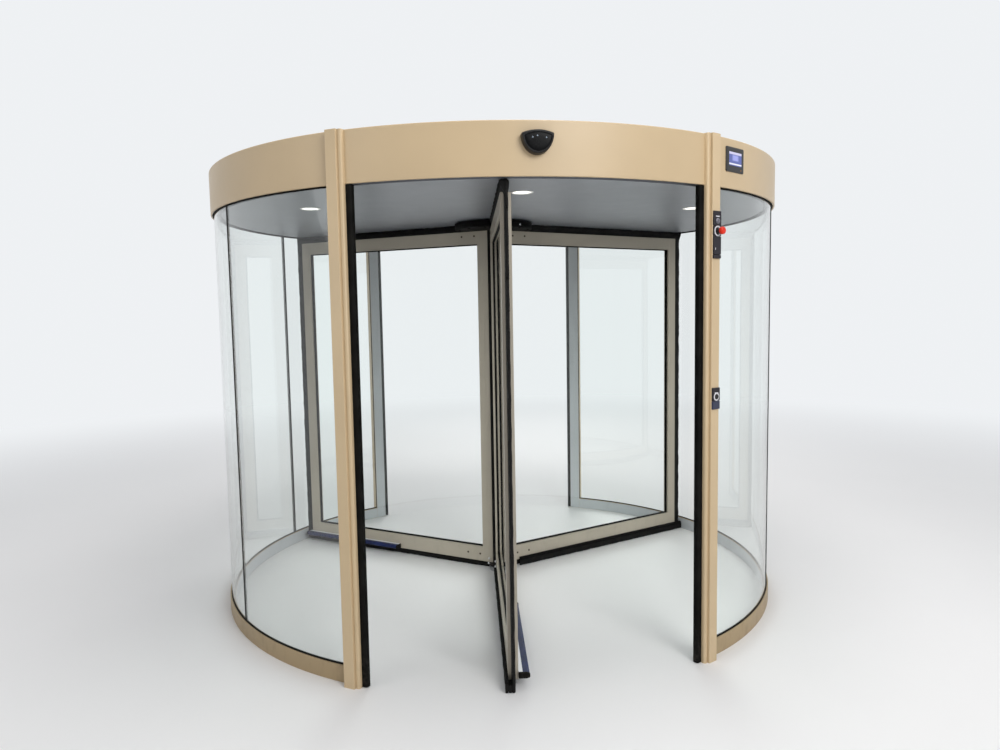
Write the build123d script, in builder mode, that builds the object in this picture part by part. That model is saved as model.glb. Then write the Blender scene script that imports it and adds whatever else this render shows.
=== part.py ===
from build123d import *

import os
from math import cos, degrees, radians, sin

os.makedirs("parts", exist_ok=True)

# A three-wing automatic revolving door: a drum of bent glass between four posts,
# a canopy with the drive in it, and a rotor of three framed glass wings.
# Origin: drum axis at floor level. The openings face -Y and +Y, the glass walls -X and +X.

# Drum walls
drum_radius = 1530.0
kerb_thickness = 28.0
kerb_height = 76.0
kerb_edge = 3.0
pane_thickness = 10.0
pane_slot_width = 16.0
pane_slot_depth = 24.0
pane_slot_setback = 5.0
pane_joint = 12.0
pane_joint_angle = 29.4
pane_joint_lip = 2.0
pane_joint_cover = 18.0
gasket_stand = 4.0
gasket_fit = 0.3

# Canopy
passage_height = 2100.0
canopy_height = 214.0
fascia_overhang = 34.0
sheet_thickness = 4.0
fascia_flange = 9.0
beam_recess = 4.0
beam_block_height = 22.0
beam_slot_depth = 16.0
beam_web = 10.0
ceiling_thickness = 12.0
ceiling_gap = 20.0
ledge_width = 30.0
ledge_thickness = 10.0
roof_thickness = 12.0
roof_recess = 8.0
roof_gap = 1.0

# Posts
opening_angle = 30.25
post_stand = 28.0
post_setback = 3.0
post_flat_width = 52.0
post_rib_width = 20.0
post_rib_drop = 10.0
post_rib_round = 9.0
post_groove_width = 4.0
post_groove_depth = 14.0
post_edge = 2.0
safety_edge_depth = 20.0
safety_edge_thickness = 29.0
safety_edge_setback = 1.0
safety_edge_round = 9.0
safety_edge_end_gap = 3.0

# Rotor
wing_count = 3
rest_angle = -94.4
wing_thickness = 44.0
wing_edge_gap = 60.0
nose_centre = 40.0
inner_stile_width = 62.0
outer_stile_width = 66.0
top_rail_height = 76.0
bottom_rail_height = 90.0
frame_floor_gap = 40.0
stile_floor_gap = 33.0
frame_ceiling_gap = 45.0
running_gap = 6.0
brush_thickness = 16.0
brush_groove_depth = 10.0
brush_end_gap = 1.0
skirt_thickness = 15.0
skirt_rise = 14.0
skirt_start = 66.0
wing_glass_thickness = 10.0
glazing_groove_width = 22.0
glazing_groove_depth = 14.0
glass_edge_gap = 3.0
gasket_sight = 6.0
bumper_end_gap = 45.0
bumper_projection = 48.0
bumper_height = 25.0
bumper_lift = 4.0
bumper_rail = 18.0
bumper_cap = 6.0
bumper_start = 720.0
column_seal_fin = 24.0
column_seal_reach = 37.0
hub_radius = 228.0
hub_gap = 8.0
hub_chamfer = 6.0
shaft_radius = 30.0
shaft_flange_radius = 75.0
shaft_flange_thickness = 10.0
shaft_hole_clearance = 10.0
bearing_clearance = 0.05
foot_radius = 62.0
foot_thickness = 12.0
foot_pin_radius = 15.0
foot_pin_gap = 3.0

# Floor bearing
floor_bearing_radius = 60.0
floor_bearing_height = 20.0
floor_bearing_base = 3.0
floor_bolt_circle = 90.0
floor_bolt_count = 4
floor_bolt_hole = 5.5

# Drive in the canopy
transom_spacing = 260.0
transom_width = 60.0
transom_height = 70.0
transom_wall = 5.0
transom_end_gap = 8.0
drive_plate_size = 420.0
drive_plate_thickness = 12.0
drive_motor_radius = 95.0
drive_head_room = 20.0
drive_bearing_radius = 62.0
drive_bearing_drop = 60.0
shaft_end_rise = 30.0
shaft_end_gap = 5.0

# Fittings on the canopy and posts
downlight_setback = 365.0
downlight_angles = (-90.0, -33.0, 33.0, 90.0, 147.0, 213.0)
downlight_hole = 42.0
downlight_rim = 50.0
downlight_rim_thickness = 3.0
downlight_body = 40.0
downlight_fit = 0.5
sensor_width = 128.0
sensor_height = 93.0
sensor_crown = 13.0
sensor_corner = 8.0
sensor_depth = 36.0
sensor_seat = 2.0
sensor_inset = 9.0
sensor_top_drop = 42.0
panel_angle = -53.4
panel_width = 145.0
panel_height = 107.0
panel_depth = 5.0
panel_drop = 89.0
panel_corner = 6.0
panel_edge = 2.0
plate_width = 48.0
plate_thickness = 8.0
plate_corner = 4.0
plate_groove_width = 2.0
plate_groove_depth = 2.0
upper_plate_bottom = 1790.0
upper_plate_height = 200.0
upper_plate_joints = (94.0, 137.0)
lower_plate_bottom = 1141.0
lower_plate_height = 94.0
lower_plate_joint = 36.0
stop_rise = 115.5
stop_collar_radius = 15.0
stop_collar_length = 26.0
stop_head_radius = 20.0
stop_head_length = 18.0
stop_head_round = 6.0
key_switch_rise = 158.0
key_switch_radius = 11.0
push_button_rise = 55.0
push_button_radius = 12.0
push_button_length = 4.0

# Worked out from the sizes above
canopy_top = passage_height + canopy_height
fascia_radius = drum_radius + fascia_overhang
kerb_radius = drum_radius + kerb_thickness
pane_slot_inner = drum_radius + pane_slot_setback
pane_middle = pane_slot_inner + pane_slot_width / 2
pane_bottom = kerb_height - pane_slot_depth
beam_radius = fascia_radius - fascia_flange
beam_bottom = passage_height + beam_recess
beam_block_top = beam_bottom + beam_block_height
beam_slot_top = beam_bottom + beam_slot_depth
ceiling_radius = drum_radius - ceiling_gap
ledge_bottom = passage_height + ceiling_thickness
ledge_top = ledge_bottom + ledge_thickness
roof_top = canopy_top - roof_recess
beam_top = roof_top - roof_thickness
post_inner_radius = drum_radius + post_setback
post_outer_radius = fascia_radius + post_stand
post_side = post_flat_width / 2
post_rib_side = post_side + post_rib_width
rib_radius = post_outer_radius - post_rib_drop
frame_bottom = frame_floor_gap
stile_bottom = stile_floor_gap
frame_top = passage_height - frame_ceiling_gap
light_bottom = frame_bottom + bottom_rail_height
light_top = frame_top - top_rail_height
wing_reach = drum_radius - wing_edge_gap
stile_inner_edge = nose_centre + inner_stile_width
stile_outer_edge = wing_reach - outer_stile_width
light_width = stile_outer_edge - stile_inner_edge
light_height = light_top - light_bottom
seal_radius = drum_radius - running_gap
bumper_reach = drum_radius - bumper_end_gap
bumper_bottom = frame_bottom + bumper_lift
bumper_top = bumper_bottom + bumper_height
column_seal_core = nose_centre - wing_thickness / 2 - gasket_fit
hub_top = passage_height - hub_gap
transom_bottom = ledge_top
transom_top = transom_bottom + transom_height
drive_plate_top = transom_top + drive_plate_thickness
drive_top = beam_top - drive_head_room
shaft_top = drive_plate_top + shaft_end_rise
shaft_hole_radius = shaft_flange_radius + shaft_hole_clearance
wing_angles = [rest_angle + 360 / wing_count * turn for turn in range(wing_count)]
downlight_radius = drum_radius - downlight_setback
downlight_places = [
    (downlight_radius * cos(radians(angle)), downlight_radius * sin(radians(angle)))
    for angle in downlight_angles
]
sensor_top = canopy_top - sensor_top_drop
panel_middle = canopy_top - panel_drop

# Each post: its direction from the axis, and the side on which its opening lies
# (+1 where the wall is counter-clockwise of the post, -1 where it is clockwise).
posts = {
    "front_right": (-90 + opening_angle, 1),
    "front_left": (-90 - opening_angle, -1),
    "rear_right": (90 - opening_angle, -1),
    "rear_left": (90 + opening_angle, 1),
}


def level_plane(angle, height=0.0):
    """Level plane at a height, its x axis pointing outwards in this direction."""
    outwards = (cos(radians(angle)), sin(radians(angle)), 0)
    return Plane(origin=(0, 0, height), x_dir=outwards, z_dir=(0, 0, 1))


def radial_plane(angle):
    """Upright plane through the axis: x points outwards, y points up."""
    outwards = (cos(radians(angle)), sin(radians(angle)), 0)
    normal = (sin(radians(angle)), -cos(radians(angle)), 0)
    return Plane(origin=(0, 0, 0), x_dir=outwards, z_dir=normal)


def facing_plane(angle, distance):
    """Upright plane across this direction at a distance: x is sideways, y points up."""
    outwards = (cos(radians(angle)), sin(radians(angle)), 0)
    sideways = (-sin(radians(angle)), cos(radians(angle)), 0)
    origin = (distance * outwards[0], distance * outwards[1], 0)
    return Plane(origin=origin, x_dir=sideways, z_dir=outwards)


def block(x_from, x_to, y_from, y_to):
    """Rectangle between two pairs of limits in the current sketch."""
    with Locations(((x_from + x_to) / 2, (y_from + y_to) / 2)):
        Rectangle(x_to - x_from, y_to - y_from)


def trim_posts(inner_limit):
    """Cuts the piece being built back to the posts' side faces, from this distance outwards."""
    for angle, side in posts.values():
        with BuildSketch(level_plane(angle)) as footprint:
            edges = sorted((side * post_side, -side * post_rib_side))
            block(inner_limit, fascia_radius + fascia_overhang, edges[0], edges[1])
        extrude(footprint.sketch, amount=canopy_top, mode=Mode.SUBTRACT)


def save(piece, name):
    """Labels a finished piece and writes its file."""
    piece.part.label = name
    export_step(piece.part, f"parts/{name}.step")


# Kerbs: rolled profiles on the floor, with a slot for the bent glass
wall_start = {"right": -90 + opening_angle, "left": 90 + opening_angle}
wall_span = 180 - 2 * opening_angle
for wall, start in wall_start.items():
    with BuildPart() as kerb:
        with BuildSketch(radial_plane(start)) as kerb_profile:
            block(drum_radius, kerb_radius, 0, kerb_height)
            chamfer(kerb_profile.vertices().group_by(Axis.Y)[-1], kerb_edge)
            with Locations((pane_middle, kerb_height - pane_slot_depth / 2)):
                Rectangle(pane_slot_width, pane_slot_depth, mode=Mode.SUBTRACT)
        revolve(axis=Axis.Z, revolution_arc=wall_span)
        trim_posts(drum_radius - post_setback)
    save(kerb, f"kerb_{wall}")

# Glass walls: three bent panes a side, standing in the kerb and held in the head beam
for wall, start in wall_start.items():
    middle = start + wall_span / 2
    toward_rear = 1 if wall == "right" else -1
    pane_gap = degrees(pane_joint / pane_middle)
    limits = {
        "front": (-wall_span / 2, -pane_joint_angle - pane_gap / 2),
        "middle": (-pane_joint_angle + pane_gap / 2, pane_joint_angle - pane_gap / 2),
        "rear": (pane_joint_angle + pane_gap / 2, wall_span / 2),
    }
    for place, (low, high) in limits.items():
        first = middle + (low if toward_rear > 0 else -high)
        with BuildPart() as pane:
            with BuildSketch(radial_plane(first)):
                block(
                    pane_middle - pane_thickness / 2,
                    pane_middle + pane_thickness / 2,
                    pane_bottom,
                    beam_slot_top - gasket_stand,
                )
            revolve(axis=Axis.Z, revolution_arc=high - low)
            trim_posts(post_inner_radius)
        save(pane, f"glass_{wall}_{place}")

# Wall seals: the gaskets either side of the glass, and the upright joints between panes
with BuildPart() as wall_seals:
    gasket_offset = pane_thickness / 2 + gasket_fit
    gasket_width = (pane_slot_width - pane_thickness) / 2 - 2 * gasket_fit
    for wall, start in wall_start.items():
        for inner_edge in (pane_middle + gasket_offset, pane_middle - gasket_offset - gasket_width):
            with BuildSketch(radial_plane(start)):
                outer_edge = inner_edge + gasket_width
                block(inner_edge, outer_edge, kerb_height - gasket_stand, kerb_height + gasket_stand)
                block(inner_edge, outer_edge, beam_bottom - gasket_stand, beam_bottom + gasket_stand)
            revolve(axis=Axis.Z, revolution_arc=wall_span)
    trim_posts(post_inner_radius)
    for wall, start in wall_start.items():
        for turn in (-pane_joint_angle, pane_joint_angle):
            with BuildSketch(level_plane(start + wall_span / 2 + turn, kerb_height + gasket_stand)):
                half = pane_joint / 2 - gasket_fit
                reach = pane_thickness / 2 + gasket_fit
                lip_reach = reach + pane_joint_lip
                half_cover = pane_joint_cover / 2
                block(pane_middle - lip_reach, pane_middle + lip_reach, -half, half)
                block(pane_middle + reach, pane_middle + lip_reach, -half_cover, half_cover)
                block(pane_middle - lip_reach, pane_middle - reach, -half_cover, half_cover)
            extrude(amount=beam_bottom - kerb_height - 2 * gasket_stand)
save(wall_seals, "wall_seals")

# Posts: flat outer face, a groove, and a rounded rib towards the opening
for name, (angle, side) in posts.items():
    with BuildPart() as post:
        with BuildSketch(level_plane(angle)) as post_profile:
            with BuildLine():
                groove_floor = post_outer_radius - post_groove_depth
                groove_side = post_side + post_groove_width
                Polyline(
                    (post_inner_radius, side * post_side),
                    (post_outer_radius, side * post_side),
                    (post_outer_radius, -side * post_side),
                    (groove_floor, -side * post_side),
                    (groove_floor, -side * groove_side),
                    (rib_radius, -side * groove_side),
                    (rib_radius, -side * post_rib_side),
                    (post_inner_radius, -side * post_rib_side),
                    close=True,
                )
            make_face()
            rib_corner = (rib_radius, -side * post_rib_side, 0)
            fillet(post_profile.vertices().sort_by_distance(rib_corner)[0], post_rib_round)
            fillet(post_profile.vertices().group_by(Axis.X)[-1], post_edge)
        extrude(amount=canopy_top)
    save(post, f"post_{name}")

# Safety edges: rubber strips down the opening side of each post
with BuildPart() as safety_edges:
    for angle, side in posts.values():
        with BuildSketch(level_plane(angle, safety_edge_end_gap)) as strip_profile:
            near = post_inner_radius + safety_edge_setback
            far = near + safety_edge_thickness
            strip = sorted((-side * post_rib_side, -side * (post_rib_side + safety_edge_depth)))
            block(near, far, strip[0], strip[1])
            opening_end = 0 if side > 0 else -1
            fillet(strip_profile.vertices().group_by(Axis.Y)[opening_end], safety_edge_round)
        extrude(amount=passage_height - 2 * safety_edge_end_gap)
save(safety_edges, "safety_edges")

# Fascia: four bent sheets between the posts, flanged inwards at top and bottom
for name, start in {
    "front": -90 - opening_angle,
    "right": -90 + opening_angle,
    "rear": 90 - opening_angle,
    "left": 90 + opening_angle,
}.items():
    span = 2 * opening_angle if name in ("front", "rear") else wall_span
    with BuildPart() as fascia:
        with BuildSketch(radial_plane(start)):
            block(beam_radius, fascia_radius, passage_height, canopy_top)
            sheet_middle = beam_radius + (fascia_flange - sheet_thickness) / 2
            with Locations((sheet_middle, passage_height + canopy_height / 2)):
                Rectangle(
                    fascia_flange - sheet_thickness,
                    canopy_height - 2 * sheet_thickness,
                    mode=Mode.SUBTRACT,
                )
        revolve(axis=Axis.Z, revolution_arc=span)
        trim_posts(post_inner_radius)
    save(fascia, f"fascia_{name}")

# Head beams: dark channel above the glass and the openings, which carries ceiling and roof
with BuildPart() as head_beams:
    with BuildSketch(radial_plane(0)):
        block(drum_radius, beam_radius, beam_bottom, beam_block_top)
        block(beam_radius - beam_web, beam_radius, beam_block_top, beam_top)
        block(drum_radius, beam_radius - beam_web, beam_top - beam_web, beam_top)
        block(drum_radius - ledge_width, drum_radius, ledge_bottom, ledge_top)
    revolve(axis=Axis.Z)
    trim_posts(post_inner_radius)
    for start in wall_start.values():
        with BuildSketch(radial_plane(start)):
            block(pane_slot_inner, pane_slot_inner + pane_slot_width, beam_bottom, beam_slot_top)
        revolve(axis=Axis.Z, revolution_arc=wall_span, mode=Mode.SUBTRACT)
save(head_beams, "head_beams")

# Ceiling: a round panel hung under the ledge, open for the shaft and the downlights
with BuildPart() as ceiling:
    with BuildSketch(Plane.XY.offset(passage_height)):
        Circle(ceiling_radius)
        Circle(shaft_hole_radius, mode=Mode.SUBTRACT)
        with Locations(*downlight_places):
            Circle(downlight_hole, mode=Mode.SUBTRACT)
    extrude(amount=ceiling_thickness)
save(ceiling, "ceiling_panel")

# Roof: the dust cover on the head beams
with BuildPart() as roof:
    with BuildSketch(Plane.XY.offset(beam_top)):
        Circle(beam_radius - roof_gap)
    extrude(amount=roof_thickness)
    trim_posts(post_inner_radius)
save(roof, "canopy_roof")

# Transoms: two steel tubes across the canopy, on the head beams' ledge
with BuildPart() as transoms:
    for across in (-transom_spacing / 2, transom_spacing / 2):
        far_side = transom_spacing / 2 + transom_width / 2
        half_length = (drum_radius**2 - far_side**2) ** 0.5 - transom_end_gap
        with BuildSketch(Plane.YZ.offset(-half_length)):
            with Locations((across, transom_bottom + transom_height / 2)):
                Rectangle(transom_width, transom_height)
                Rectangle(
                    transom_width - 2 * transom_wall,
                    transom_height - 2 * transom_wall,
                    mode=Mode.SUBTRACT,
                )
        extrude(amount=2 * half_length)
save(transoms, "drive_transoms")

# Drive: plate on the transoms, gear motor above, shaft bearing below
with BuildPart() as drive:
    with BuildSketch(Plane.XY.offset(transom_top)):
        Rectangle(drive_plate_size, drive_plate_size)
    extrude(amount=drive_plate_thickness)
    with BuildSketch(Plane.XY.offset(drive_plate_top)):
        Circle(drive_motor_radius)
    extrude(amount=drive_top - drive_plate_top)
    with BuildSketch(Plane.XY.offset(transom_top)):
        Circle(drive_bearing_radius)
    extrude(amount=-drive_bearing_drop)
    with BuildSketch(Plane.XY.offset(transom_top - drive_bearing_drop)):
        Circle(shaft_radius + bearing_clearance)
    extrude(amount=shaft_top + shaft_end_gap - transom_top + drive_bearing_drop, mode=Mode.SUBTRACT)
save(drive, "drive_unit")

# Drive shaft: bolted on the hub, turning in the drive
with BuildPart() as shaft:
    with BuildSketch(Plane.XY.offset(hub_top)):
        Circle(shaft_flange_radius)
    extrude(amount=shaft_flange_thickness)
    with BuildSketch(Plane.XY.offset(hub_top)):
        Circle(shaft_radius)
    extrude(amount=shaft_top - hub_top)
save(shaft, "drive_shaft")

# Hub: the dark disc under the ceiling that the three wings hang from
with BuildPart() as hub:
    with BuildSketch(Plane.XY.offset(frame_top)):
        Circle(hub_radius)
    extrude(amount=hub_top - frame_top)
    chamfer(hub.edges().group_by(Axis.Z)[0], hub_chamfer)
save(hub, "hub_disc")

# Column seal: rubber core with a fin between each two noses
with BuildPart() as column_seal:
    with BuildSketch(Plane.XY.offset(frame_bottom)):
        Circle(column_seal_core)
        for angle in wing_angles:
            with BuildSketch(level_plane(angle + 180 / wing_count), mode=Mode.PRIVATE) as fin:
                with Locations((column_seal_reach / 2, 0)):
                    Rectangle(column_seal_reach, column_seal_fin)
            add(fin.sketch)
    extrude(amount=frame_top - frame_bottom)
    for angle in wing_angles:
        with BuildSketch(level_plane(angle, frame_bottom)):
            with Locations((nose_centre, 0)):
                Circle(wing_thickness / 2 + gasket_fit)
        extrude(amount=frame_top - frame_bottom, mode=Mode.SUBTRACT)
save(column_seal, "column_seal")

# Foot pivot: plate under the wings with the pin that turns in the floor bearing
with BuildPart() as foot:
    with BuildSketch(Plane.XY.offset(frame_bottom - foot_thickness)):
        Circle(foot_radius)
    extrude(amount=foot_thickness)
    with BuildSketch(Plane.XY.offset(floor_bearing_base + foot_pin_gap)):
        Circle(foot_pin_radius)
    extrude(amount=frame_bottom - foot_thickness - floor_bearing_base - foot_pin_gap)
save(foot, "foot_pivot")

# Floor bearing: bolted to the floor on the drum's axis
with BuildPart() as floor_bearing:
    with BuildSketch():
        Circle(floor_bearing_radius)
    extrude(amount=floor_bearing_height)
    with BuildSketch(Plane.XY.offset(floor_bearing_base)):
        Circle(foot_pin_radius + bearing_clearance)
    extrude(amount=floor_bearing_height - floor_bearing_base, mode=Mode.SUBTRACT)
    with PolarLocations(floor_bolt_circle / 2, floor_bolt_count, start_angle=45):
        with Locations((0, 0, floor_bearing_height)):
            Hole(floor_bolt_hole, depth=floor_bearing_height)
save(floor_bearing, "floor_bearing")

# Wings: each a frame of stiles and rails that carries the bumper's rail, its glass, the brushes
# in its edges with a brush skirt on its trailing face, and its bumper
for number, angle in enumerate(wing_angles, start=1):
    half_wing = wing_thickness / 2
    half_brush = brush_thickness / 2
    with BuildPart() as frame:
        with BuildSketch(level_plane(angle, frame_bottom)):
            with Locations((nose_centre, 0)):
                Circle(half_wing)
            block(nose_centre, stile_inner_edge, -half_wing, half_wing)
        extrude(amount=frame_top - frame_bottom)
        with BuildSketch(level_plane(angle, stile_bottom)):
            block(stile_outer_edge, wing_reach, -half_wing, half_wing)
        extrude(amount=frame_top - stile_bottom)
        with BuildSketch(facing_plane(angle, stile_inner_edge)):
            block(-half_wing, half_wing, frame_bottom, light_bottom)
            block(-half_wing, half_wing, light_top, frame_top)
        extrude(amount=light_width)
        with BuildSketch(facing_plane(angle, bumper_start)):
            block(half_wing, half_wing + bumper_rail, bumper_bottom, bumper_top)
        extrude(amount=bumper_reach - bumper_cap - bumper_start)
        with BuildSketch(facing_plane(angle, stile_inner_edge - glazing_groove_depth)):
            half_groove = glazing_groove_width / 2
            groove_low = light_bottom - glazing_groove_depth
            groove_high = light_top + glazing_groove_depth
            block(-half_groove, half_groove, groove_low, groove_high)
        extrude(amount=light_width + 2 * glazing_groove_depth, mode=Mode.SUBTRACT)
        with BuildSketch(facing_plane(angle, hub_radius)):
            block(-half_brush, half_brush, frame_top - brush_groove_depth, frame_top)
        extrude(amount=wing_reach - hub_radius, mode=Mode.SUBTRACT)
        with BuildSketch(facing_plane(angle, foot_radius)):
            block(-half_brush, half_brush, stile_bottom, frame_bottom + brush_groove_depth)
        extrude(amount=wing_reach - foot_radius, mode=Mode.SUBTRACT)
        with BuildSketch(level_plane(angle, stile_bottom)):
            block(wing_reach - brush_groove_depth, wing_reach, -half_brush, half_brush)
        extrude(amount=frame_top - stile_bottom, mode=Mode.SUBTRACT)
    save(frame, f"wing_{number}_frame")

    with BuildPart() as wing_glass:
        with BuildSketch(facing_plane(angle, stile_inner_edge - glazing_groove_depth + glass_edge_gap)):
            half_glass = wing_glass_thickness / 2
            glass_high = light_top + glazing_groove_depth - glass_edge_gap
            block(-half_glass, half_glass, light_bottom - glazing_groove_depth, glass_high)
        extrude(amount=light_width + 2 * (glazing_groove_depth - glass_edge_gap))
    save(wing_glass, f"wing_{number}_glass")

    with BuildPart() as brushes:
        with BuildSketch(level_plane(angle, running_gap)):
            block(wing_reach - brush_groove_depth, seal_radius, -half_brush, half_brush)
        extrude(amount=passage_height - 2 * running_gap)
        brush_end = wing_reach - brush_groove_depth - brush_end_gap
        with BuildSketch(facing_plane(angle, hub_radius + brush_end_gap)):
            block(-half_brush, half_brush, frame_top - brush_groove_depth, passage_height - running_gap)
        extrude(amount=brush_end - hub_radius - brush_end_gap)
        with BuildSketch(facing_plane(angle, foot_radius + brush_end_gap)):
            block(-half_brush, half_brush, running_gap, frame_bottom + brush_groove_depth)
        extrude(amount=brush_end - foot_radius - brush_end_gap)
        with BuildSketch(facing_plane(angle, skirt_start)):
            block(-half_wing - skirt_thickness, -half_wing, running_gap, frame_bottom + skirt_rise)
        extrude(amount=seal_radius - skirt_start)
    save(brushes, f"wing_{number}_brushes")

    with BuildPart() as bumper:
        rail_face = half_wing + bumper_rail
        nose_middle = half_wing + bumper_projection - bumper_height / 2
        with BuildSketch(facing_plane(angle, bumper_start)):
            block(rail_face, nose_middle, bumper_bottom, bumper_top)
            with Locations((nose_middle, (bumper_bottom + bumper_top) / 2)):
                Circle(bumper_height / 2)
        extrude(amount=bumper_reach - bumper_start)
        with BuildSketch(facing_plane(angle, bumper_reach - bumper_cap)):
            block(half_wing, rail_face, bumper_bottom, bumper_top)
        extrude(amount=bumper_cap)
    save(bumper, f"wing_{number}_bumper")

# Glazing gaskets: a rubber frame on each side of each wing's glass
with BuildPart() as wing_gaskets:
    gasket_width = (glazing_groove_width - wing_glass_thickness) / 2 - 2 * gasket_fit
    ring_depth = glazing_groove_depth - glass_edge_gap
    for angle in wing_angles:
        for start in (
            wing_glass_thickness / 2 + gasket_fit,
            -wing_glass_thickness / 2 - gasket_fit - gasket_width,
        ):
            with BuildSketch(radial_plane(angle).offset(start)):
                with Locations(((stile_inner_edge + stile_outer_edge) / 2, (light_bottom + light_top) / 2)):
                    Rectangle(light_width + 2 * ring_depth, light_height + 2 * ring_depth)
                    Rectangle(
                        light_width - 2 * gasket_sight,
                        light_height - 2 * gasket_sight,
                        mode=Mode.SUBTRACT,
                    )
            extrude(amount=gasket_width)
save(wing_gaskets, "wing_gaskets")

# Downlights: a rim under the ceiling and a can above it
with BuildPart() as downlights:
    with BuildSketch(Plane.XY.offset(passage_height)):
        with Locations(*downlight_places):
            Circle(downlight_hole - downlight_fit)
    extrude(amount=downlight_body)
    with BuildSketch(Plane.XY.offset(passage_height)):
        with Locations(*downlight_places):
            Circle(downlight_rim)
    extrude(amount=-downlight_rim_thickness)
save(downlights, "downlights")

# Motion sensors: a half-moon housing in the middle of each opening's fascia
for name, direction in {"front": -90, "rear": 90}.items():
    with BuildPart() as sensor:
        for reach, inset in ((-sensor_seat, 0), (sensor_depth, sensor_inset)):
            with BuildSketch(facing_plane(direction, fascia_radius + reach)) as sensor_outline:
                half_width = sensor_width / 2 - inset
                shoulder = sensor_top - sensor_crown - inset
                belly = sensor_height - sensor_crown - 2 * inset
                with BuildLine():
                    ThreePointArc((-half_width, shoulder), (0, sensor_top - inset), (half_width, shoulder))
                    EllipticalCenterArc((0, shoulder), half_width, belly, start_angle=180, arc_size=180)
                make_face()
                fillet(sensor_outline.vertices(), sensor_corner)
        loft()
        with BuildSketch(Plane.XY.offset(passage_height)):
            Circle(fascia_radius)
        extrude(amount=canopy_height, mode=Mode.SUBTRACT)
    save(sensor, f"sensor_{name}")

# Control panel: a framed display on the right fascia
with BuildPart() as panel:
    with BuildSketch(facing_plane(panel_angle, fascia_radius - panel_depth)):
        with Locations((0, panel_middle)):
            RectangleRounded(panel_width, panel_height, panel_corner)
    extrude(amount=2 * panel_depth)
    panel_front = facing_plane(panel_angle, fascia_radius + panel_depth).origin
    chamfer(panel.faces().sort_by_distance(panel_front + (0, 0, panel_middle))[0].edges(), panel_edge)
    with BuildSketch(Plane.XY.offset(passage_height)):
        Circle(fascia_radius)
    extrude(amount=canopy_height, mode=Mode.SUBTRACT)
save(panel, "control_panel")

# Switches on the flat face of the right front post
switch_angle = posts["front_right"][0]
plate_face = post_outer_radius + plate_thickness
with BuildPart() as upper_plate:
    with BuildSketch(facing_plane(switch_angle, post_outer_radius)):
        with Locations((0, upper_plate_bottom + upper_plate_height / 2)):
            RectangleRounded(plate_width, upper_plate_height, plate_corner)
    extrude(amount=plate_thickness)
    with BuildSketch(facing_plane(switch_angle, plate_face)):
        for joint in upper_plate_joints:
            with Locations((0, upper_plate_bottom + joint)):
                Rectangle(plate_width, plate_groove_width)
    extrude(amount=-plate_groove_depth, mode=Mode.SUBTRACT)
    with BuildSketch(facing_plane(switch_angle, plate_face)):
        with Locations((0, upper_plate_bottom + key_switch_rise)):
            Circle(key_switch_radius)
    extrude(amount=push_button_length)
save(upper_plate, "switch_plate_upper")

with BuildPart() as lower_plate:
    with BuildSketch(facing_plane(switch_angle, post_outer_radius)):
        with Locations((0, lower_plate_bottom + lower_plate_height / 2)):
            RectangleRounded(plate_width, lower_plate_height, plate_corner)
    extrude(amount=plate_thickness)
    with BuildSketch(facing_plane(switch_angle, plate_face)):
        with Locations((0, lower_plate_bottom + lower_plate_joint)):
            Rectangle(plate_width, plate_groove_width)
    extrude(amount=-plate_groove_depth, mode=Mode.SUBTRACT)
    with BuildSketch(facing_plane(switch_angle, plate_face)):
        with Locations((0, lower_plate_bottom + push_button_rise)):
            Circle(push_button_radius)
    extrude(amount=push_button_length)
save(lower_plate, "switch_plate_lower")

with BuildPart() as stop_button:
    stop_height = upper_plate_bottom + stop_rise
    with BuildSketch(facing_plane(switch_angle, plate_face)):
        with Locations((0, stop_height)):
            Circle(stop_collar_radius)
    extrude(amount=stop_collar_length)
    with BuildSketch(facing_plane(switch_angle, plate_face + stop_collar_length)):
        with Locations((0, stop_height)):
            Circle(stop_head_radius)
    extrude(amount=stop_head_length)
    head_front = facing_plane(switch_angle, plate_face + stop_collar_length + stop_head_length).origin
    fillet(
        stop_button.faces().sort_by_distance(head_front + (0, 0, stop_height))[0].edges(), stop_head_round
    )
save(stop_button, "emergency_button")
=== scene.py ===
from math import asin, cos, degrees, pi, radians, sin

import bmesh
import bpy
import numpy as np
from mathutils import Matrix, Vector


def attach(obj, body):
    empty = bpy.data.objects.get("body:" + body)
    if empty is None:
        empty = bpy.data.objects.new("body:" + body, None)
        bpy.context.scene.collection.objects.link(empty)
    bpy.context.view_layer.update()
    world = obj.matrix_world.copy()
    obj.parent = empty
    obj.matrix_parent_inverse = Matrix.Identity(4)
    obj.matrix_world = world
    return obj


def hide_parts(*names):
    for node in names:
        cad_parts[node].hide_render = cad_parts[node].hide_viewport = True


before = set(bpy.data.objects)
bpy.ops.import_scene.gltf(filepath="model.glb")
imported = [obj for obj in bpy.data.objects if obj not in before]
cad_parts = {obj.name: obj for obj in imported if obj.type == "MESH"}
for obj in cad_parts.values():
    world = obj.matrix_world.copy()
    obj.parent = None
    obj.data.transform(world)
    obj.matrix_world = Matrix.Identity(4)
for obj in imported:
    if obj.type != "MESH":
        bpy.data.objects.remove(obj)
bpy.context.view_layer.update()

# Studio
# A plain pale floor under an even white surround, one large soft lamp from the front and three
# weaker ones, so that enamel, glass and rubber show about in the colours written for them.
VIEW_PLACE = (-0.5025, -4.5067, 1.5893)
VIEW_YAW, VIEW_PITCH, VIEW_ROLL = radians(6.664), radians(-4.967), radians(-0.978)
LAMP_AIM = Vector((0, 0, 1.2))

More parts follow.
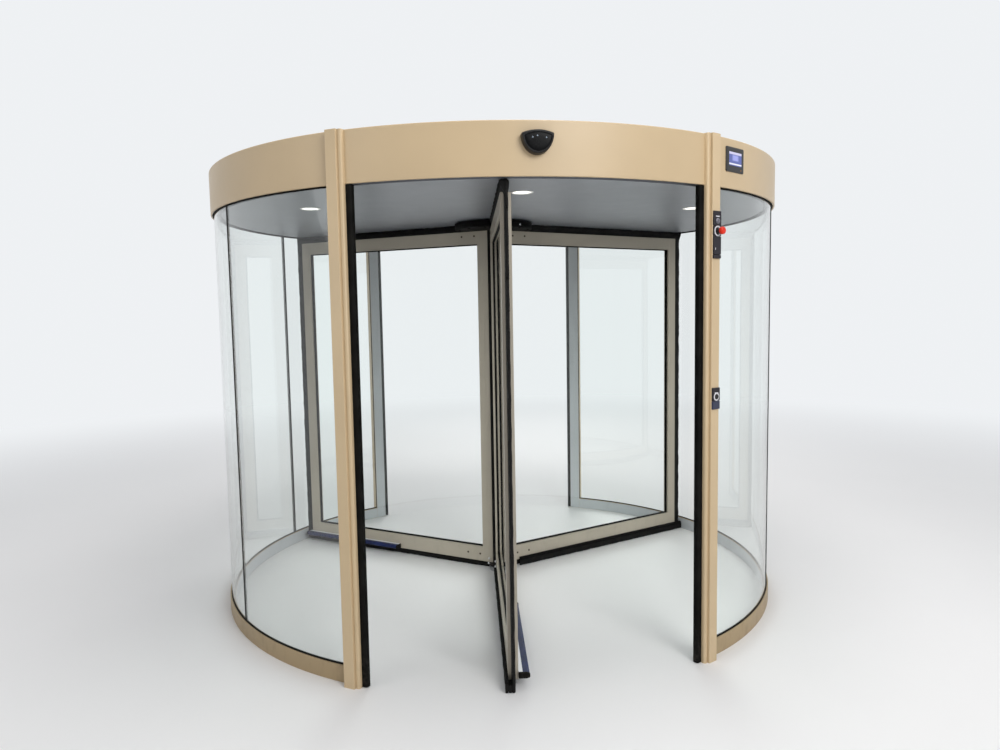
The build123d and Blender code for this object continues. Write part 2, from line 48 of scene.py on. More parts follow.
camera_data = bpy.data.cameras.new("camera")
camera_data.sensor_fit = "HORIZONTAL"
camera_data.sensor_width = 36.0
camera_data.lens = 27.217
camera_data.clip_end = 200.0
camera = bpy.data.objects.new("camera", camera_data)
bpy.context.scene.collection.objects.link(camera)
camera.matrix_world = (
    Matrix.Translation(VIEW_PLACE)
    @ Matrix.Rotation(-VIEW_YAW, 4, "Z")
    @ Matrix.Rotation(pi / 2 + VIEW_PITCH, 4, "X")
    @ Matrix.Rotation(VIEW_ROLL, 4, "Z")
)
bpy.context.scene.camera = camera
bpy.context.scene.view_settings.view_transform = "Standard"

for name, place, size, power in (
    ("lamp_front", (2.3, -6.4, 4.4), 3.4, 198),
    ("lamp_left", (-5.6, -3.6, 3.6), 3.0, 30),
    ("lamp_rear", (1.5, 6.5, 4.2), 4.0, 150),
    ("lamp_top", (0.4, -1.2, 6.2), 2.4, 120),
):
    lamp_data = bpy.data.lights.new(name, "AREA")
    lamp_data.shape = "DISK"
    lamp_data.size = size
    lamp_data.energy = power
    lamp = bpy.data.objects.new(name, lamp_data)
    lamp.visible_camera = lamp.visible_transmission = False
    lamp.matrix_world = (
        Matrix.Translation(place)
        @ (LAMP_AIM - Vector(place)).to_track_quat("-Z", "Y").to_matrix().to_4x4()
    )
    bpy.context.scene.collection.objects.link(lamp)


class Wire:
    """An output of a material's node tree. Python's operators on it add Math nodes."""

    def __init__(self, tree, socket=None):
        self.tree, self.socket = tree, socket

    def node(self, kind, settings=None, inputs=None, out=0):
        """Adds a shader node: its settings first, then a value or link for each input named."""
        made = self.tree.nodes.new("ShaderNode" + kind)
        for key, value in (settings or {}).items():
            setattr(made, key, value)
        for key, value in (inputs or {}).items():
            if isinstance(value, Wire):
                self.tree.links.new(value.socket, made.inputs[key])
            else:
                made.inputs[key].default_value = value
        return Wire(self.tree, made.outputs[out])

    def math(self, operation, first, second):
        return self.node("Math", {"operation": operation}, {0: first, 1: second})

    def __add__(self, other):
        return self.math("ADD", self, other)

    def __mul__(self, other):
        return self.math("MULTIPLY", self, other)

    __radd__, __rmul__ = __add__, __mul__

    def rise(self, low, high):
        """0 below low, 1 above high and a smooth rise between them; high below low turns it round."""
        ends = {"Value": self, "From Min": low, "From Max": high}
        return self.node("MapRange", {"interpolation_type": "SMOOTHSTEP"}, ends)

    def blend(self, first, second):
        """Colour first where the mask is 0, second where it is 1."""
        return self.node("Mix", {"data_type": "RGBA"}, {0: self, 6: first, 7: second}, 2)

    def noise(self, scale, detail, stretch=(1, 1, 1)):
        """Noise from 0 to 1 on these coordinates, with its grains drawn out where stretch is below 1."""
        drawn = self.node("Mapping", {}, {"Vector": self, "Scale": stretch})
        return self.node("TexNoise", {}, {"Vector": drawn, "Scale": scale, "Detail": detail})


def finish(name, feeds, **fixed):
    """A material: feeds takes a Wire of the Object coordinates and one of the height above the floor, and
    gives the shader's varying inputs and its bump's relief and depth; fixed holds those that never vary."""
    material = bpy.data.materials.new(name)
    material.use_nodes = True
    tree = material.node_tree
    shader = tree.nodes["Principled BSDF"]
    for key, value in fixed.items():
        shader.inputs[key.replace("_", " ")].default_value = value
    at = Wire(tree).node("TexCoord", out="Object")
    height = at.node("SeparateXYZ", {}, {0: at}, "Z")
    varying, relief, depth = feeds(at, height)
    if relief is not None:
        varying["Normal"] = at.node("Bump", {}, {"Height": relief, "Distance": depth, "Strength": 1.0})
    for key, value in varying.items():
        tree.links.new(value.socket, shader.inputs[key])
    return material


def tone(*rgb):
    """A written sRGB colour of 0 to 255 as the linear colour that a socket takes."""
    level = np.array(rgb) / 255
    return (*np.where(level <= 0.04045, level / 12.92, ((level + 0.055) / 1.055) ** 2.4).tolist(), 1.0)


BACKDROP, SURROUND = (0.86, 0.88, 0.90, 1), (0.40, 0.41, 0.43, 1)
HAZE_NEAR, HAZE_FAR = 2.6, 9.5
FLOOR_HALF = 40


def backdrop_rays(wire):
    """1 for the rays by which the backdrop is seen: straight, in a gloss and through glass."""
    names = ("Camera", "Glossy", "Transmission")
    direct, gloss, through = (wire.node("LightPath", out=f"Is {name} Ray") for name in names)
    straight = direct.math("MAXIMUM", direct, through)
    return straight.math("MAXIMUM", straight, gloss)


def pale_floor(at, height):
    cloud = at.noise(0.6, 4)
    grain = at.noise(160, 3)
    return {"Base Color": cloud.blend((0.84, 0.83, 0.82, 1), (0.89, 0.88, 0.87, 1))}, grain, 0.0002


floor_material = finish("pale_floor", pale_floor, Roughness=0.6)
floor_nodes = floor_material.node_tree
floor_shader = Wire(floor_nodes, floor_nodes.nodes["Principled BSDF"].outputs[0])
floor_at = floor_shader.node("TexCoord", out="Object")
distance = floor_at.node("VectorMath", {"operation": "LENGTH"}, {0: floor_at}, "Value")
fading = distance.rise(HAZE_NEAR, HAZE_FAR) * backdrop_rays(floor_at)
haze = floor_at.node("Emission", {}, {"Color": BACKDROP})
faded = floor_at.node("MixShader", {}, {0: fading, 1: floor_shader, 2: haze})
floor_nodes.links.new(faded.socket, floor_nodes.nodes["Material Output"].inputs["Surface"])

floor_mesh = bpy.data.meshes.new("floor")
floor_corners = [(x * FLOOR_HALF, y * FLOOR_HALF, 0) for x, y in ((-1, -1), (1, -1), (1, 1), (-1, 1))]
floor_mesh.from_pydata(floor_corners, [], [(0, 1, 2, 3)])
floor_mesh.materials.append(floor_material)
floor = bpy.data.objects.new("floor", floor_mesh)
bpy.context.scene.collection.objects.link(floor)

world = bpy.data.worlds.new("world")
world.use_nodes = True
bpy.context.scene.world = world
surround = world.node_tree.nodes["Background"]
surround_colour = backdrop_rays(Wire(world.node_tree)).blend(SURROUND, BACKDROP)
world.node_tree.links.new(surround_colour.socket, surround.inputs["Color"])

# Kerbs
# Two rolled aluminium profiles of 28 by 76 mm, powder coated beige, screwed to the floor with
# a slot on top in which the bent glass stands. They butt against the posts.
POST_ANGLE = 59.75
POST_FLAT = 0.026
DRUM, KERB_OUT, KERB_TOP = 1.53, 1.558, 0.076
SLOT_IN, SLOT_OUT, SLOT_FLOOR = 1.535, 1.551, 0.052
WALLS = {"right": (-POST_ANGLE, POST_ANGLE), "left": (180 - POST_ANGLE, 180 + POST_ANGLE)}


def rounded(corners, radii, steps=4):
    """A closed outline with each corner turned into an arc: its centre lies on the corner's bisector, radius
    over the sine of half the angle away, and its points go from one side's tangent point to the other's. One
    more point lies a hair along each side, so that the soft shading stops there and the side stays flat."""
    corner = np.array(corners, float)
    radius = np.broadcast_to(np.array(radii, float), len(corner))
    back = np.roll(corner, 1, 0) - corner
    ahead = np.roll(corner, -1, 0) - corner
    back /= np.linalg.norm(back, axis=1)[:, None]
    ahead /= np.linalg.norm(ahead, axis=1)[:, None]
    half = np.arccos(np.clip((back * ahead).sum(1), -1, 1)) / 2
    bisector = back + ahead
    bisector /= np.linalg.norm(bisector, axis=1)[:, None]
    centre = corner + bisector * (radius / np.sin(half))[:, None]
    reach = (radius / np.tan(half))[:, None]
    hair = np.minimum(reach * 0.25, 0.0003)
    start = corner + back * reach - centre
    turn = np.sign(back[:, 0] * ahead[:, 1] - back[:, 1] * ahead[:, 0]) * (2 * half - pi)
    swing = turn[:, None] * np.linspace(0, 1, steps + 1)[None]
    arc_x = start[:, :1] * np.cos(swing) - start[:, 1:] * np.sin(swing)
    arc_y = start[:, :1] * np.sin(swing) + start[:, 1:] * np.cos(swing)
    arc = centre[:, None] + np.stack([arc_x, arc_y], 2)
    before = (corner + back * (reach + hair))[:, None]
    after = (corner + ahead * (reach + hair))[:, None]
    return np.concatenate([before, arc, after], 1).reshape(-1, 2)


def tube(points):
    """The shell of a grid of (rows, columns) points whose columns close on themselves: one quad a cell, and
    the first and last row as end faces."""
    rows, columns = points.shape[:2]
    index = np.arange(rows * columns).reshape(rows, columns)
    row, ahead = index[:-1], index[1:]
    quads = np.stack([row, np.roll(row, -1, 1), np.roll(ahead, -1, 1), ahead], 2).reshape(-1, 4)
    return points.reshape(-1, 3), quads.tolist() + [index[0].tolist()[::-1], index[-1].tolist()]


def bent(profile, first, last, cut=0.0):
    """A profile of radius and height carried round the drum's axis, about a degree at a time: its angle runs
    from first plus asin(cut / r) to last minus the same, so that both ends are flat against a post whose side
    is cut away from its middle."""
    radius, height = np.array(profile).T
    trim = np.degrees(np.arcsin(cut / radius))
    part = np.linspace(0, 1, int(last - first) + 2)[:, None]
    angle = np.radians((first + trim) * (1 - part) + (last - trim) * part)
    level = np.broadcast_to(height, angle.shape)
    return tube(np.stack([radius * np.cos(angle), radius * np.sin(angle), level], 2))


def joined(shells):
    """Several shells of points and faces as one."""
    starts = np.cumsum([0] + [len(points) for points, faces in shells])
    faces = [[start + corner for corner in face] for start, shell in zip(starts, shells) for face in shell[1]]
    return np.concatenate([points for points, faces in shells]), faces


def piece(name, shell, material, body, slot, *nodes, smooth=40):
    """A piece from a closed shell: doubles merged, faces turned outwards, edges below smooth degrees shaded
    round. It rides on a body and stands for the CAD nodes named. Its slot is not used."""
    mesh = bpy.data.meshes.new(name)
    mesh.from_pydata(shell[0].tolist(), [], shell[1])
    work = bmesh.new()
    work.from_mesh(mesh)
    bmesh.ops.remove_doubles(work, verts=work.verts, dist=2e-6)
    bmesh.ops.dissolve_degenerate(work, edges=work.edges, dist=1e-7)
    bmesh.ops.recalc_face_normals(work, faces=work.faces)
    work.to_mesh(mesh)
    work.free()
    mesh.shade_smooth()
    mesh.set_sharp_from_angle(angle=radians(smooth))
    mesh.materials.append(material)
    made = bpy.data.objects.new(name, mesh)
    bpy.context.scene.collection.objects.link(made)
    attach(made, body)
    if nodes:
        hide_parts(*nodes)


def powder_coat(name, colour, roughness, soiled=0.0, specular=0.45):
    """Powder coat: the fine dimples of the melt, faint clouds of tone, a gloss that wanders a little, and
    where it is soiled the dark scuffs that shoes and mops leave low down."""
    clean = tone(*colour)
    shade = (*[level * 0.93 for level in clean[:3]], 1)
    scuff = (*[level * 0.45 for level in clean[:3]], 1)

    def feeds(at, height):
        dimples = at.noise(650, 2)
        cloud = at.noise(2.2, 3)
        patches = at.noise(23, 5, (1, 1, 0.35)).rise(0.5, 0.78)
        rubbed = patches * height.rise(0.32, 0.0) * soiled
        colours = rubbed.blend(cloud.rise(0.3, 0.7).blend(shade, clean), scuff)
        gloss = at.noise(9, 3) * 0.12 + (roughness - 0.06) + rubbed * 0.2
        return {"Base Color": colours, "Roughness": gloss}, dimples, 0.00012

    return finish(name, feeds, Specular_IOR_Level=specular)


# The kerbs' beige is painted darker than that of posts and fascia: painted shade for the dimmer light low
# down. The scuffs near the floor are real soiling.
kerb_enamel = powder_coat("kerb_enamel", (170, 148, 113), 0.45, soiled=0.3)
kerb_outline = rounded(
    [(DRUM, 0), (KERB_OUT, 0), (KERB_OUT, KERB_TOP), (SLOT_OUT, KERB_TOP), (SLOT_OUT, SLOT_FLOOR),
     (SLOT_IN, SLOT_FLOOR), (SLOT_IN, KERB_TOP), (DRUM, KERB_TOP)],
    (0.0005, 0.0005, 0.003, 0.001, 0.0005, 0.0005, 0.001, 0.002),
)
for wall, (first, last) in WALLS.items():
    kerb = bent(kerb_outline, first, last, POST_FLAT)
    piece(f"kerb_{wall}_profile", kerb, kerb_enamel, "drum", "kerb_enamel", f"kerb_{wall}")

# Inner light strips
# Thin strips on the inner faces of kerbs and posts in a light silver grey: painted light, standing
# for the cool daylight that falls on these faces from behind.
# Light silver grey on the inner faces: painted daylight, with the powder coat's real scuffs low down.
painted_daylight_grey = powder_coat("painted_daylight_grey", (200, 203, 206), 0.36, soiled=0.2)
STRIP_IN, STRIP_OUT, STRIP_CUT = 1.5292, 1.5302, 0.0275
light_strip_outline = rounded(
    [(STRIP_IN, 0.001), (STRIP_OUT, 0.001), (STRIP_OUT, 0.0735), (STRIP_IN, 0.0735)], 0.0003, 2
)
kerb_light_strips = [bent(light_strip_outline, first, last, STRIP_CUT) for first, last in WALLS.values()]
piece("kerb_inner_painted_light", joined(kerb_light_strips), painted_daylight_grey, "drum", "kerb_enamel")

# Glass walls
# Three panes a side of clear laminated glass, 10 mm thick and bent to the drum's radius. They
# stand in the kerb, are held in the head beam and meet with a 12 mm joint.
PANE_IN, PANE_OUT, PANE_MIDDLE = 1.538, 1.548, 1.543
PANE_LOW, PANE_HIGH = 0.052, 2.116
JOINT_TURN = 29.4
JOINT_GAP = degrees(0.012 / PANE_MIDDLE)
POST_GAP = degrees(asin(POST_FLAT / PANE_MIDDLE))
GLASS_TINT = (0.962, 0.985, 0.976, 1)


def clear_glass(name):
    """Clear glass: the Principled shader with full transmission, which lets the lamps' shadow rays through as
    a pale tint. Very faint long waves in its relief are those of heat-treated sheets."""

    def feeds(at, height):
        return {}, at.noise(1.3, 1), 0.0006

    material = finish(name, feeds, Base_Color=GLASS_TINT, Roughness=0.0, IOR=1.45, Transmission_Weight=1.0)
    tree = material.node_tree
    shader = Wire(tree, tree.nodes["Principled BSDF"].outputs[0])
    shadow = shader.node("LightPath", out="Is Shadow Ray")
    through = shader.node("BsdfTransparent", {}, {"Color": (0.93, 0.955, 0.945, 1)})
    both = shader.node("MixShader", {}, {0: shadow, 1: shader, 2: through})
    tree.links.new(both.socket, tree.nodes["Material Output"].inputs["Surface"])
    return material


bent_glass = clear_glass("bent_glass")
pane_outline = rounded(
    [(PANE_IN, PANE_LOW), (PANE_OUT, PANE_LOW), (PANE_OUT, PANE_HIGH), (PANE_IN, PANE_HIGH)], 0.001, 2
)
for wall, (first, last) in WALLS.items():
    middle = (first + last) / 2
    edges = (first, middle - JOINT_TURN, middle + JOINT_TURN, last)
    order = ("front", "middle", "rear") if wall == "right" else ("rear", "middle", "front")
    for place, start, end in zip(order, edges, edges[1:]):
        low = POST_GAP if start == first else JOINT_GAP / 2
        high = POST_GAP if end == last else JOINT_GAP / 2
        pane = bent(pane_outline, start + low, end - high)
        name = f"glass_{wall}_{place}"
        piece(f"pane_{wall}_{place}", pane, bent_glass, "drum", "bent_glass", name)

# Wall seals
# Black EPDM gaskets pressed in on both sides of the glass at kerb and head and inside along the
# posts, and an upright joint profile between each two panes, whose lips lie on the glass.
def rubber(name, colour, dusty, roughness=0.62, specular=0.08):
    """Rubber: a dark colour with a soft bloom, moulding specks, and grey dust towards the floor."""
    dark = tone(*colour)
    bloom = (*[level * 1.7 + 0.004 for level in dark[:3]], 1)
    dust = (0.11, 0.10, 0.085, 1)

    def feeds(at, height):
        cloud = at.noise(14, 4)
        fine = at.noise(900, 2)
        settled = at.noise(60, 4).rise(0.4, 0.75) * height.rise(0.22, 0.0) * dusty
        colours = settled.blend(cloud.rise(0.35, 0.75).blend(dark, bloom), dust)
        return {"Base Color": colours, "Roughness": cloud * 0.16 + (roughness - 0.08)}, fine, 0.00008

    return finish(name, feeds, Specular_IOR_Level=specular)


def placed(angle, reach, across, level):
    """Points that lie reach out from the drum's axis along an angle, across to its left, and level high."""
    turn = radians(angle)
    reach, across, level = (np.asarray(part, float)[..., None] for part in (reach, across, level))
    out, left = np.array([cos(turn), sin(turn), 0]), np.array([-sin(turn), cos(turn), 0])
    return reach * out + across * left + level * np.array([0, 0, 1])


BEVEL_REACH = 0.035


def upright(outline, angle, low, high, bevel=0.0):
    """An outline of reach and side carried straight up from low to high. With a bevel it narrows by about that
    much over the last such height."""
    middle = outline.mean(0)
    narrow = middle + (outline - middle) * (1 - bevel / BEVEL_REACH)
    rows = [(outline, low), (outline, high - bevel)] + [(narrow, high)] * (bevel > 0)
    return tube(np.stack([placed(angle, *flat.T, level) for flat, level in rows]))


black_rubber = rubber("black_rubber", (10, 9, 7), 0.2)
PASSAGE = 2.1
GASKET_FACES = ((1.5485, 1.5512), (1.5348, 1.5375))
KERB_GASKET, HEAD_GASKET = (0.072, 0.080), (PASSAGE - 0.005, PASSAGE + 0.008)
LIP, WAIST = 0.009, 0.0057
joint_half = np.array([(1.5357, LIP), (1.5377, LIP), (1.5377, WAIST),
                       (1.5483, WAIST), (1.5483, LIP), (1.5503, LIP)])
joint_radii = (0.0009, 0.0003, 0.0003, 0.0003, 0.0003, 0.0009) * 2
joint_outline = rounded(np.vstack([joint_half * (1, -1), joint_half[::-1]]), joint_radii, 3)
seals = []
for first, last in WALLS.values():
    for near, far in GASKET_FACES:
        for low, high in (KERB_GASKET, HEAD_GASKET):
            outline = rounded([(near, low), (far, low), (far, high), (near, high)], 0.001, 3)
            seals.append(bent(outline, first, last, POST_FLAT))
    for turn in (-JOINT_TURN, JOINT_TURN):
        seals.append(upright(joint_outline, (first + last) / 2 + turn, KERB_GASKET[1], PASSAGE))
    for angle, side in ((first, 1), (last, -1)):
        near, far = side * 0.0262, side * 0.0315
        edge = rounded([(1.5345, near), (1.5378, near), (1.5378, far), (1.5345, far)], 0.0008, 3)
        seals.append(upright(edge, angle, KERB_GASKET[1], PASSAGE))
piece("wall_gaskets", joined(seals), black_rubber, "drum", "black_rubber", "wall_seals")

# Posts
# Four extruded aluminium posts, powder coated beige: a flat outer face, a shadow groove and a
# rounded rib on the side of the opening. They carry the canopy.
POST_IN, POST_OUT, POST_RIB = 1.533, 1.592, 0.046
GROOVE_FLOOR, RIB_OUT, RIB_START = POST_OUT - 0.0118, POST_OUT - 0.010, POST_FLAT + 0.004
CANOPY_TOP = 2.314
POSTS = {"front_right": (-POST_ANGLE, 1), "front_left": (POST_ANGLE - 180, -1),
         "rear_right": (POST_ANGLE, -1), "rear_left": (180 - POST_ANGLE, 1)}

beige_enamel = powder_coat("beige_enamel", (206, 182, 145), 0.38, soiled=0.25)
for name, (angle, side) in POSTS.items():
    outline = rounded(
        [(POST_IN, side * POST_FLAT), (POST_OUT, side * POST_FLAT), (POST_OUT, -side * POST_FLAT),
         (GROOVE_FLOOR, -side * POST_FLAT), (GROOVE_FLOOR, -side * RIB_START), (RIB_OUT, -side * RIB_START),
         (RIB_OUT, -side * POST_RIB), (POST_IN, -side * POST_RIB)],
        (0.0008, 0.002, 0.002, 0.0002, 0.0002, 0.001, 0.009, 0.0008), 8,
    )
    post = upright(outline, angle, 0, CANOPY_TOP, 0.0012)
    piece(f"post_{name}_profile", post, beige_enamel, "drum", "beige_enamel", f"post_{name}")
# The same painted-light strips on the posts' inner faces.
post_light_strips = []
for angle, side in POSTS.values():
    flat, rib = side * (POST_FLAT - 0.0008), -side * (POST_RIB - 0.0008)
    outline = rounded([(1.5322, flat), (1.5334, flat), (1.5334, rib), (1.5322, rib)], 0.0004, 2)
    post_light_strips.append(upright(outline, angle, 0.001, PASSAGE - 0.0005))
piece("post_inner_painted_light", joined(post_light_strips), painted_daylight_grey, "drum", "beige_enamel")

# Safety edges
# Black rubber profiles down the opening side of each post: a foot in the post and a hollow
# bulb with a lip line, which stops the drive when something is caught against it.
BULB_IN, BULB_OUT, BULB_END = 1.534, 1.563, 0.072
LIP_DEPTH, LIP_LINE = 0.0015, (0.0505, 0.0512, 0.0522, 0.0530)
bulb_edge = np.array(
    [(BULB_IN, POST_RIB), (BULB_OUT, POST_RIB), (BULB_OUT, LIP_LINE[0]), (BULB_OUT - LIP_DEPTH, LIP_LINE[1]),
     (BULB_OUT - LIP_DEPTH, LIP_LINE[2]), (BULB_OUT, LIP_LINE[3]), (BULB_OUT, BULB_END), (BULB_IN, BULB_END),
     (BULB_IN, LIP_LINE[3]), (BULB_IN + LIP_DEPTH, LIP_LINE[2]), (BULB_IN + LIP_DEPTH, LIP_LINE[1]),
     (BULB_IN, LIP_LINE[0])]
)
bulb_radii = (0.0005, 0.0005, 0.0005, 0, 0, 0.0005, 0.009, 0.009, 0.0005, 0, 0, 0.0005)
bulbs = [
    upright(rounded(bulb_edge * (1, -side), bulb_radii, 8), angle, 0.003, PASSAGE - 0.003)
    for angle, side in POSTS.values()
]
piece("safety_edge_strips", joined(bulbs), black_rubber, "drum", "black_rubber", "safety_edges")

# Fascia
# Four bent aluminium sheets round the canopy, 214 mm high, powder coated beige, with a folded
# flange at top and bottom. They butt against the posts.
FASCIA, SHEET, FLANGE = 1.564, 0.004, 0.009
fascia_outline = rounded(
    [(FASCIA - FLANGE, PASSAGE), (FASCIA, PASSAGE), (FASCIA, CANOPY_TOP), (FASCIA - FLANGE, CANOPY_TOP),
     (FASCIA - FLANGE, CANOPY_TOP - SHEET), (FASCIA - SHEET, CANOPY_TOP - SHEET),
     (FASCIA - SHEET, PASSAGE + SHEET), (FASCIA - FLANGE, PASSAGE + SHEET)],
    (0.0005, 0.003, 0.005, 0.0005, 0.0005, 0.001, 0.001, 0.0005),
)
SIDES = {
    "front": (POST_ANGLE - 180, -POST_ANGLE, POST_RIB),
    "right": (-POST_ANGLE, POST_ANGLE, POST_FLAT),
    "rear": (POST_ANGLE, 180 - POST_ANGLE, POST_RIB),
    "left": (180 - POST_ANGLE, 180 + POST_ANGLE, POST_FLAT),
}
for name, (first, last, cut) in SIDES.items():
    sheet = bent(fascia_outline, first, last, cut)
    piece(f"fascia_{name}_sheet", sheet, beige_enamel, "drum", "beige_enamel", f"fascia_{name}")

# Head beams
# A near-black channel ring over glass and openings, which carries the roof and the ceiling. Its
# lower block and the real gap beside it show as the black strip under the fascia: the gap's dark is real
# shade, the block's near black is painted shade that carries it on.
dark_enamel = powder_coat("dark_enamel", (12, 11, 11), 0.7, specular=0.1)
BEAM_OUT, BEAM_LOW, BEAM_TOP = 1.555, 2.104, 2.294
WEB, BLOCK_TOP, LEDGE_IN, SLOT_TOP = 0.010, 2.126, 1.5, 2.12
beam_open = [
    (DRUM, BEAM_LOW), (BEAM_OUT, BEAM_LOW), (BEAM_OUT, BEAM_TOP), (DRUM, BEAM_TOP), (DRUM, BEAM_TOP - WEB),
    (BEAM_OUT - WEB, BEAM_TOP - WEB), (BEAM_OUT - WEB, BLOCK_TOP), (DRUM, BLOCK_TOP),
    (DRUM, BLOCK_TOP - 0.004), (LEDGE_IN, BLOCK_TOP - 0.004), (LEDGE_IN, BLOCK_TOP - 0.014),
    (DRUM, BLOCK_TOP - 0.014),
]
beam_slotted = [(DRUM, BEAM_LOW), (SLOT_IN, BEAM_LOW), (SLOT_IN, SLOT_TOP), (SLOT_OUT, SLOT_TOP),
                (SLOT_OUT, BEAM_LOW)] + beam_open[1:]
beams = [
    bent(rounded(beam_slotted if cut == POST_FLAT else beam_open, 0.0006, 2), first, last, cut)
    for first, last, cut in SIDES.values()
]
# The ring's near black, where its block shows under the fascia, is painted shade.
piece("head_beam_ring", joined(beams), dark_enamel, "drum", "dark_enamel", "head_beams")


def dress(material, *nodes):
    """A CAD node whose shape is right keeps it and gets the better material."""
    for name in nodes:
        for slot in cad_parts[name].material_slots:
            slot.material = material


# Ceiling
# A flat panel of satin grey sheet hung under the head beams' inner ledge, open for the rotor's
# shaft and for the downlights.
ceiling_grey = powder_coat("ceiling_grey", (136, 139, 145), 0.4)
dress(ceiling_grey, "ceiling_panel")

# Roof
# The canopy's dust cover: matt grey steel sheet on the head beams' rim, with a cover strip over
# its seam and two bevelled hatches to the drive.
roof_grey = powder_coat("roof_grey", (168, 166, 160), 0.6)
dress(roof_grey, "canopy_roof")
ROOF = 2.306
SEAM_HALF, SEAM_END, COVER_RISE = 0.03, 1.50, 0.003
HATCH_X, HATCH_Y, HATCH_OUT = 0.28, 0.2, 0.72
SEAM_FLAT = SEAM_HALF - COVER_RISE
seam = [(-SEAM_HALF, -0.001), (SEAM_HALF, -0.001), (SEAM_HALF, COVER_RISE * 0.4), (SEAM_FLAT, COVER_RISE),
        (-SEAM_FLAT, COVER_RISE), (-SEAM_HALF, COVER_RISE * 0.4)]
covers = [tube(np.array([[(x, y, ROOF + rise) for y, rise in seam] for x in (-SEAM_END, SEAM_END)]))]
hatch = rounded([(-HATCH_X, -HATCH_Y), (HATCH_X, -HATCH_Y), (HATCH_X, HATCH_Y), (-HATCH_X, HATCH_Y)], 0.03, 6)
for y in (-HATCH_OUT, HATCH_OUT):
    rows = [np.column_stack([hatch * scale + (0, y), np.full(len(hatch), ROOF + rise)])
            for scale, rise in ((1, -0.001), (1, 0.0024), (0.993, COVER_RISE), (0.9, COVER_RISE))]
    covers.append(tube(np.array(rows)))
piece("roof_covers", joined(covers), roof_grey, "drum", "roof_grey", smooth=25)

# Downlights
# Six round fittings set into the ceiling from below: a white moulded rim, a stepped reflector
# and a lit diffuser.
def turned(profile, centre, axis, steps=40, closed=False):
    """A profile of radius and height turned about an axis through a centre: point (i, j) is profile point j
    turned by 2 pi i / steps. The profile starts and ends on the axis, unless it is closed itself."""
    along = np.array(axis, float) / np.linalg.norm(axis)
    side = np.cross(along, (1, 0, 0) if abs(along[0]) < 0.8 else (0, 1, 0))
    side /= np.linalg.norm(side)
    turn = np.linspace(0, 2 * pi, steps, endpoint=False)[:, None]
    ring = np.cos(turn) * side + np.sin(turn) * np.cross(along, side)
    radius, height = np.array(profile, float).T
    points = np.array(centre) + ring[:, None] * radius[:, None] + height[:, None] * along
    rows, columns = points.shape[:2]
    index = np.arange(rows * columns).reshape(rows, columns)
    near = index if closed else index[:, :-1]
    far = np.roll(index, -1, 1) if closed else index[:, 1:]
    quads = np.stack([near, far, np.roll(far, -1, 0), np.roll(near, -1, 0)], 2).reshape(-1, 4)
    return points.reshape(-1, 3), quads.tolist()


def plain(name, colour, roughness, metallic=0.0, grain=500, depth=0.00005, **fixed):
    """A moulded or machined finish of one colour, with a fine grain in its relief and a gloss that wanders."""
    base = tone(*colour)
    light = (*[min(1.0, level * 1.12 + 0.002) for level in base[:3]], 1)

    def feeds(at, height):
        cloud = at.noise(30, 3)
        fine = at.noise(grain, 2)
        gloss = cloud * 0.1 + (roughness - 0.05)
        return {"Base Color": cloud.blend(base, light), "Roughness": gloss}, fine, depth

    return finish(name, feeds, Metallic=metallic, **fixed)


def lit_disc(at, height):
    return {}, at.noise(400, 2), 0.00004


downlight_white = plain("downlight_white", (232, 232, 228), 0.35)
lit_diffuser = finish(
    "lit_diffuser", lit_disc, Base_Color=(0.9, 0.9, 0.88, 1),
    Emission_Color=(1.0, 0.97, 0.92, 1), Emission_Strength=9.0,
)
LIGHT_CIRCLE, UP = 1.165, (0, 0, 1)
rim = [(0.0415, 0.0), (0.0495, 0.0), (0.05, -0.001), (0.0485, -0.003), (0.043, -0.0028), (0.040, 0.001),
       (0.036, 0.012), (0.033, 0.0135), (0.033, 0.04), (0.0415, 0.04)]
diffuser = [(0, 0.0125), (0.02, 0.0122), (0.0325, 0.014), (0.0325, 0.02), (0, 0.02)]
lights = [placed(turn, LIGHT_CIRCLE, 0, PASSAGE) for turn in (-90, -33, 33, 90, 147, 213)]
rims = joined([turned(rim, centre, UP, closed=True) for centre in lights])
piece("downlight_rims", rims, downlight_white, "drum", "downlight_white", "downlights")
diffusers = joined([turned(diffuser, centre, UP) for centre in lights])
piece("downlight_diffusers", diffusers, lit_diffuser, "drum", "downlight_white")

# Drive
# Two galvanised steel tubes across the canopy carry a plate with the gear motor on top and the
# shaft's bearing below. All of it is closed in by roof and ceiling.
zinc_steel = plain("zinc_steel", (150, 153, 156), 0.42, metallic=0.9, grain=90)
drive_cast = plain("drive_cast", (62, 66, 70), 0.55, grain=300, depth=0.0003)
bearing_steel = plain("bearing_steel", (178, 178, 180), 0.3, metallic=1.0, grain=350)
dress(zinc_steel, "drive_transoms")
dress(drive_cast, "drive_unit")
dark_steel = plain("dark_steel", (34, 33, 33), 0.5, metallic=0.5, Specular_IOR_Level=0.2)
dress(bearing_steel, "drive_shaft", "floor_bearing")
dress(dark_steel, "foot_pivot")

# Motion sensors
# A half-moon housing of black plastic in the middle of each opening's fascia, with a bevelled
# rim and a slightly domed dark window, in which three small lenses look down at the floor. The lenses sit
# where glints of light show and are pale grey: partly painted glints.
SENSOR_TOP, SENSOR_HALF, SENSOR_BELLY = 2.272, 0.064, 0.080
CROWN_RISE, SENSOR_CORNER = 0.013, 0.007


def lofted(angle, distance, outline, sections):
    """A shell on a face that looks away from the axis at that distance. It goes through one outline of across
    and height drawn at several insets: each section is an inset and how far out from the face it lies."""
    return tube(np.stack([placed(angle, distance + out, *outline(inset).T) for inset, out in sections]))


